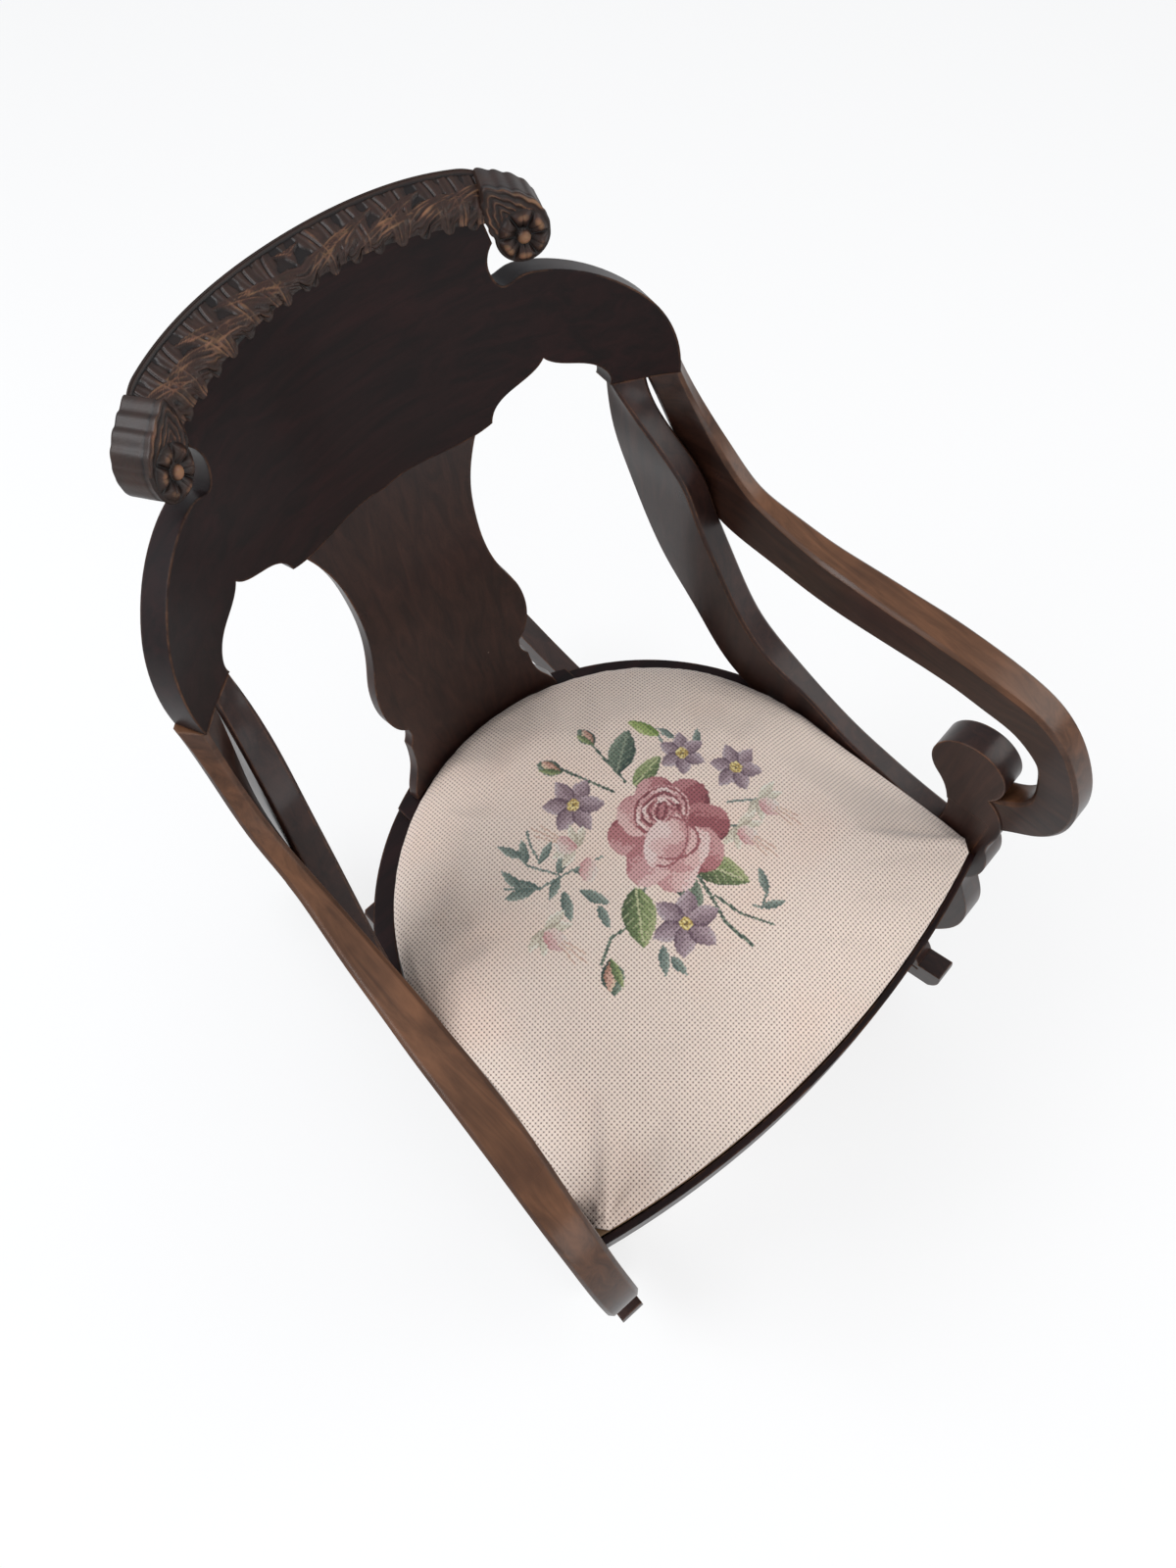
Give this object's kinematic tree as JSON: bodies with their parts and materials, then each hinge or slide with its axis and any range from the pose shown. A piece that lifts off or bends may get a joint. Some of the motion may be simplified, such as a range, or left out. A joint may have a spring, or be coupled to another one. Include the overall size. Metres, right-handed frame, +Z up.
{
  "type": "platform rocker",
  "caption": "Open-arm platform rocker with a bent carved crest, vase splat, scroll arms and a drop-in needlepoint seat, rocking on a low sprung base",
  "frame": {"origin": "floor point under the middle of the chair's length and width, at rest", "axes": "+Z up, the chair faces -Y, +X is the sitter's left"},
  "size_m": [0.5766, 0.7333, 0.9545],
  "materials": {
    "mahogany": "dark red-brown stain under an old satin varnish",
    "secondary_wood": "unfinished",
    "needlepoint": "wool needlepoint on canvas, matt",
    "webbing": "jute",
    "spring_steel": "oiled dark",
    "steel_plate": "black japanned",
    "screws": "dull",
    "feet": "dark stain"
  },
  "bodies": {
    "base": {"feet": "feet", "front_base_stretcher": "mahogany", "left_base_rail": "mahogany", "left_lower_bracket": "steel_plate", "lower_screws": "screws", "rear_base_stretcher": "mahogany", "right_base_rail": "mahogany", "right_lower_bracket": "steel_plate", "springs": "spring_steel"},
    "chair": {"crest_carving": "mahogany", "crest_dowels": "secondary_wood", "crest_rail": "mahogany", "front_cross_rail": "mahogany", "front_rail": "mahogany", "left_arm": "mahogany", "left_front_leg": "mahogany", "left_rear_leg": "mahogany", "left_runner": "mahogany", "left_side_frame": "mahogany", "left_upper_bracket": "steel_plate", "rear_cross_rail": "mahogany", "rear_rail": "mahogany", "right_arm": "mahogany", "right_front_leg": "mahogany", "right_rear_leg": "mahogany", "right_runner": "mahogany", "right_side_frame": "mahogany", "right_upper_bracket": "steel_plate", "seat_cushion": "needlepoint", "seat_frame": "secondary_wood", "seat_ledgers": "secondary_wood", "splat": "mahogany", "splat_shoe": "mahogany", "upper_screws": "screws", "webbing": "webbing"}
  },
  "joints": [
    {"name": "rock", "type": "hinge", "parent": "base", "child": "chair", "pos_m": [0, -0.085, 0.066], "axis": [1, 0, 0], "range_deg": [-10, 8], "stiffness_Nm_per_rad": 300, "deforming": ["springs"]}
  ]
}
